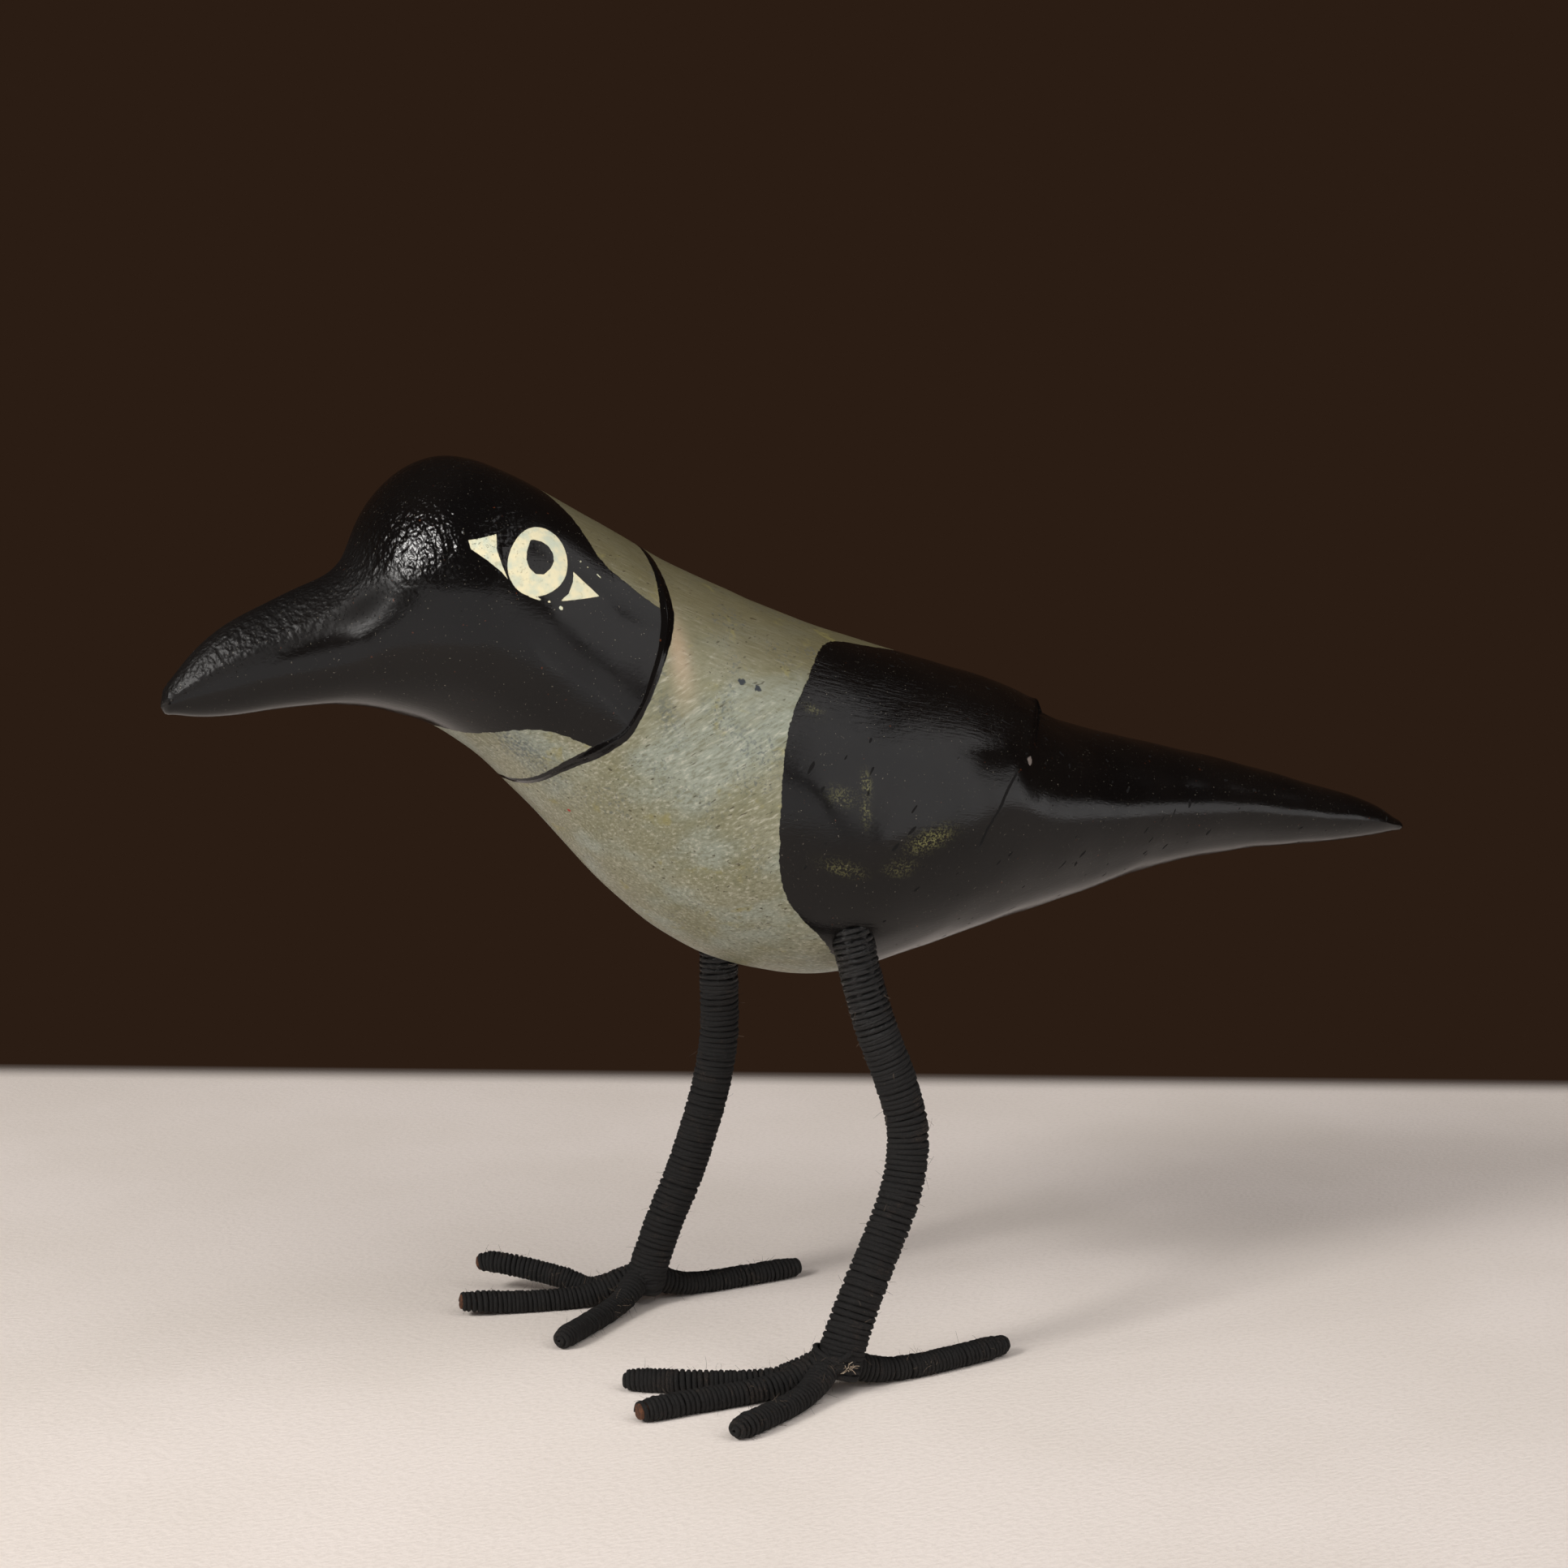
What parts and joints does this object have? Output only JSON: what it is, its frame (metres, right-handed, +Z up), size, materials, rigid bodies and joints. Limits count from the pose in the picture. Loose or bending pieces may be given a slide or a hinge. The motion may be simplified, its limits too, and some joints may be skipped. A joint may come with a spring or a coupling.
{
  "type": "carved wooden bird ornament",
  "caption": "Painted carved wooden bird that stands on thread-wound wire legs, an ornament for a shelf or table.",
  "frame": {"origin": "on the table, below the middle of the bird's outline", "axes": "+X runs from beak to tail, -Y is the bird's left side, +Z is up"},
  "size_m": [0.1736, 0.0722, 0.1147],
  "materials": {
    "painted_wood": "gloss black and worn grey paint over carved wood",
    "black_thread": "matte black waxed thread wound tight over wire",
    "rusty_wire": "dull rust"
  },
  "bodies": {
    "root": {"body": "painted_wood", "left_leg": "black_thread", "right_leg": "black_thread", "left_middle_toe_wire": "rusty_wire", "right_middle_toe_wire": "rusty_wire", "right_outer_toe_wire": "rusty_wire"}
  },
  "joints": []
}
